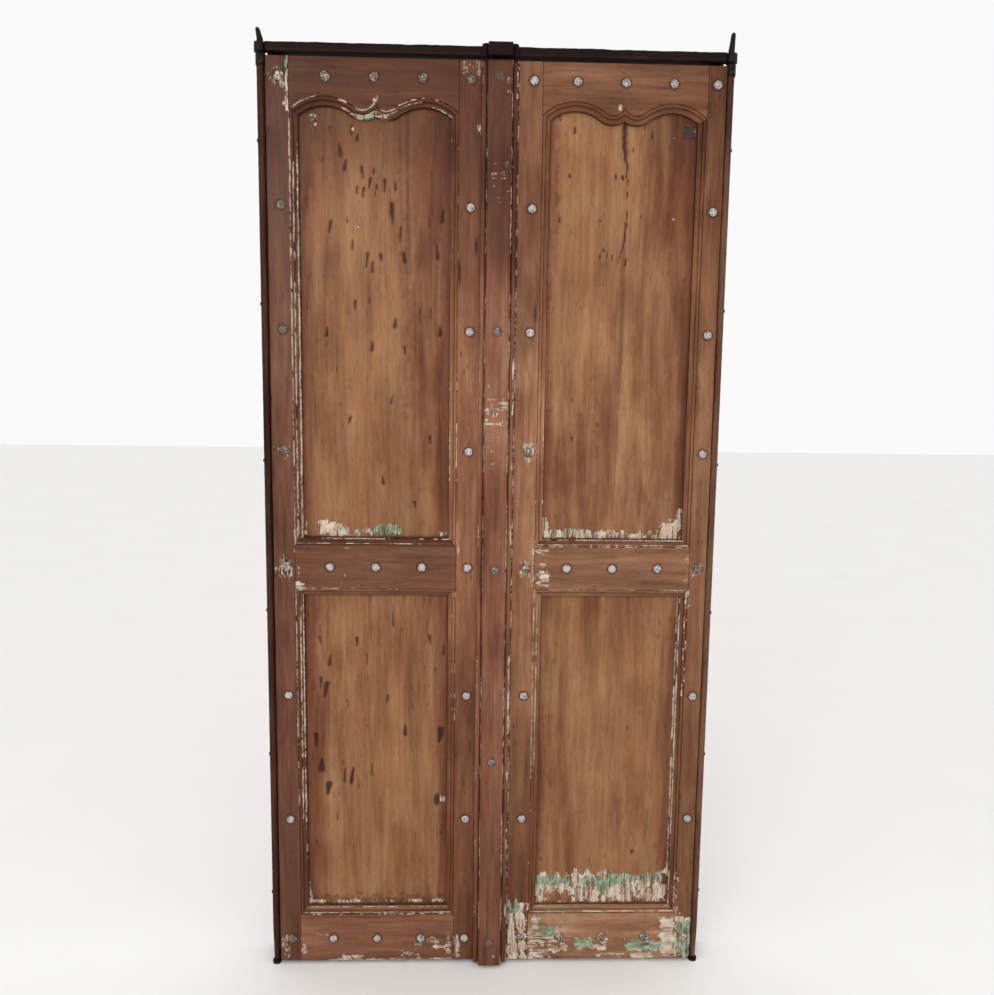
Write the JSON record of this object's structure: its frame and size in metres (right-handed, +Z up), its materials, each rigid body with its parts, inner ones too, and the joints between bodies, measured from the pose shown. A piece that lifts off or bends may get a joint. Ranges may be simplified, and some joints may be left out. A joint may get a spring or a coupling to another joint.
{
  "type": "panelled double door with frame",
  "caption": "Tall pair of old panelled door leaves with arched top rails, iron studs and a moulded centre cover strip, hung on pivot poles in a light frame.",
  "frame": {"origin": "on the ground, at the middle of the frame's width and depth", "axes": "+Z up, +X to the right seen from the front, the front faces -Y"},
  "size_m": [0.923, 0.106, 1.9161],
  "materials": {
    "dark_wood": "dark stained, worn lower arris",
    "plain_wood": "plain sawn",
    "pole_wood": "dark, worn",
    "purple_wood": "old oiled hardwood with traces of paint",
    "left_wood": "old oiled hardwood with traces of paint",
    "right_wood": "old oiled hardwood with traces of paint",
    "panel_wood": "old oiled hardwood, gouged",
    "black_iron": "old forged iron",
    "stud_iron": "worn domed iron"
  },
  "bodies": {
    "frame": {"head_plank": "dark_wood", "head_boss": "dark_wood", "boss_dowels": "plain_wood", "left_jamb": "plain_wood", "right_jamb": "plain_wood", "left_pivot_eye": "black_iron", "right_pivot_eye": "black_iron", "eye_nails": "stud_iron", "left_heel_plate": "black_iron", "right_heel_plate": "black_iron", "heel_nails": "stud_iron"},
    "left_leaf": {"left_pivot_pole": "pole_wood", "left_ferrule": "black_iron", "left_top_pin": "black_iron", "left_bottom_pin": "black_iron", "left_pole_nails": "stud_iron", "left_hanging_stile": "purple_wood", "left_meeting_stile": "left_wood", "left_top_rail": "left_wood", "left_middle_rail": "left_wood", "left_bottom_rail": "left_wood", "left_upper_panel": "panel_wood", "left_lower_panel": "panel_wood", "left_studs": "stud_iron", "left_square_nail": "stud_iron"},
    "right_leaf": {"right_pivot_pole": "pole_wood", "right_ferrule": "black_iron", "right_top_pin": "black_iron", "right_bottom_pin": "black_iron", "right_pole_nails": "stud_iron", "right_hanging_stile": "right_wood", "right_meeting_stile": "right_wood", "right_top_rail": "right_wood", "right_middle_rail": "right_wood", "right_bottom_rail": "right_wood", "right_upper_panel": "panel_wood", "right_lower_panel": "panel_wood", "right_studs": "stud_iron", "right_square_nail": "stud_iron", "astragal": "purple_wood", "astragal_studs": "stud_iron"}
  },
  "joints": [
    {"name": "right_leaf_swing", "type": "hinge", "parent": "frame", "child": "right_leaf", "pos_m": [0.45, -0.0165, 0], "axis": [0, 0, 1], "range_deg": [0, 105]},
    {"name": "left_leaf_swing", "type": "hinge", "parent": "frame", "child": "left_leaf", "pos_m": [-0.45, -0.0165, 0], "axis": [0, 0, -1], "range_deg": [0, 105]}
  ],
  "couplings": [
    {"joint": "left_leaf_swing", "follows": "right_leaf_swing", "ratio": 1}
  ]
}
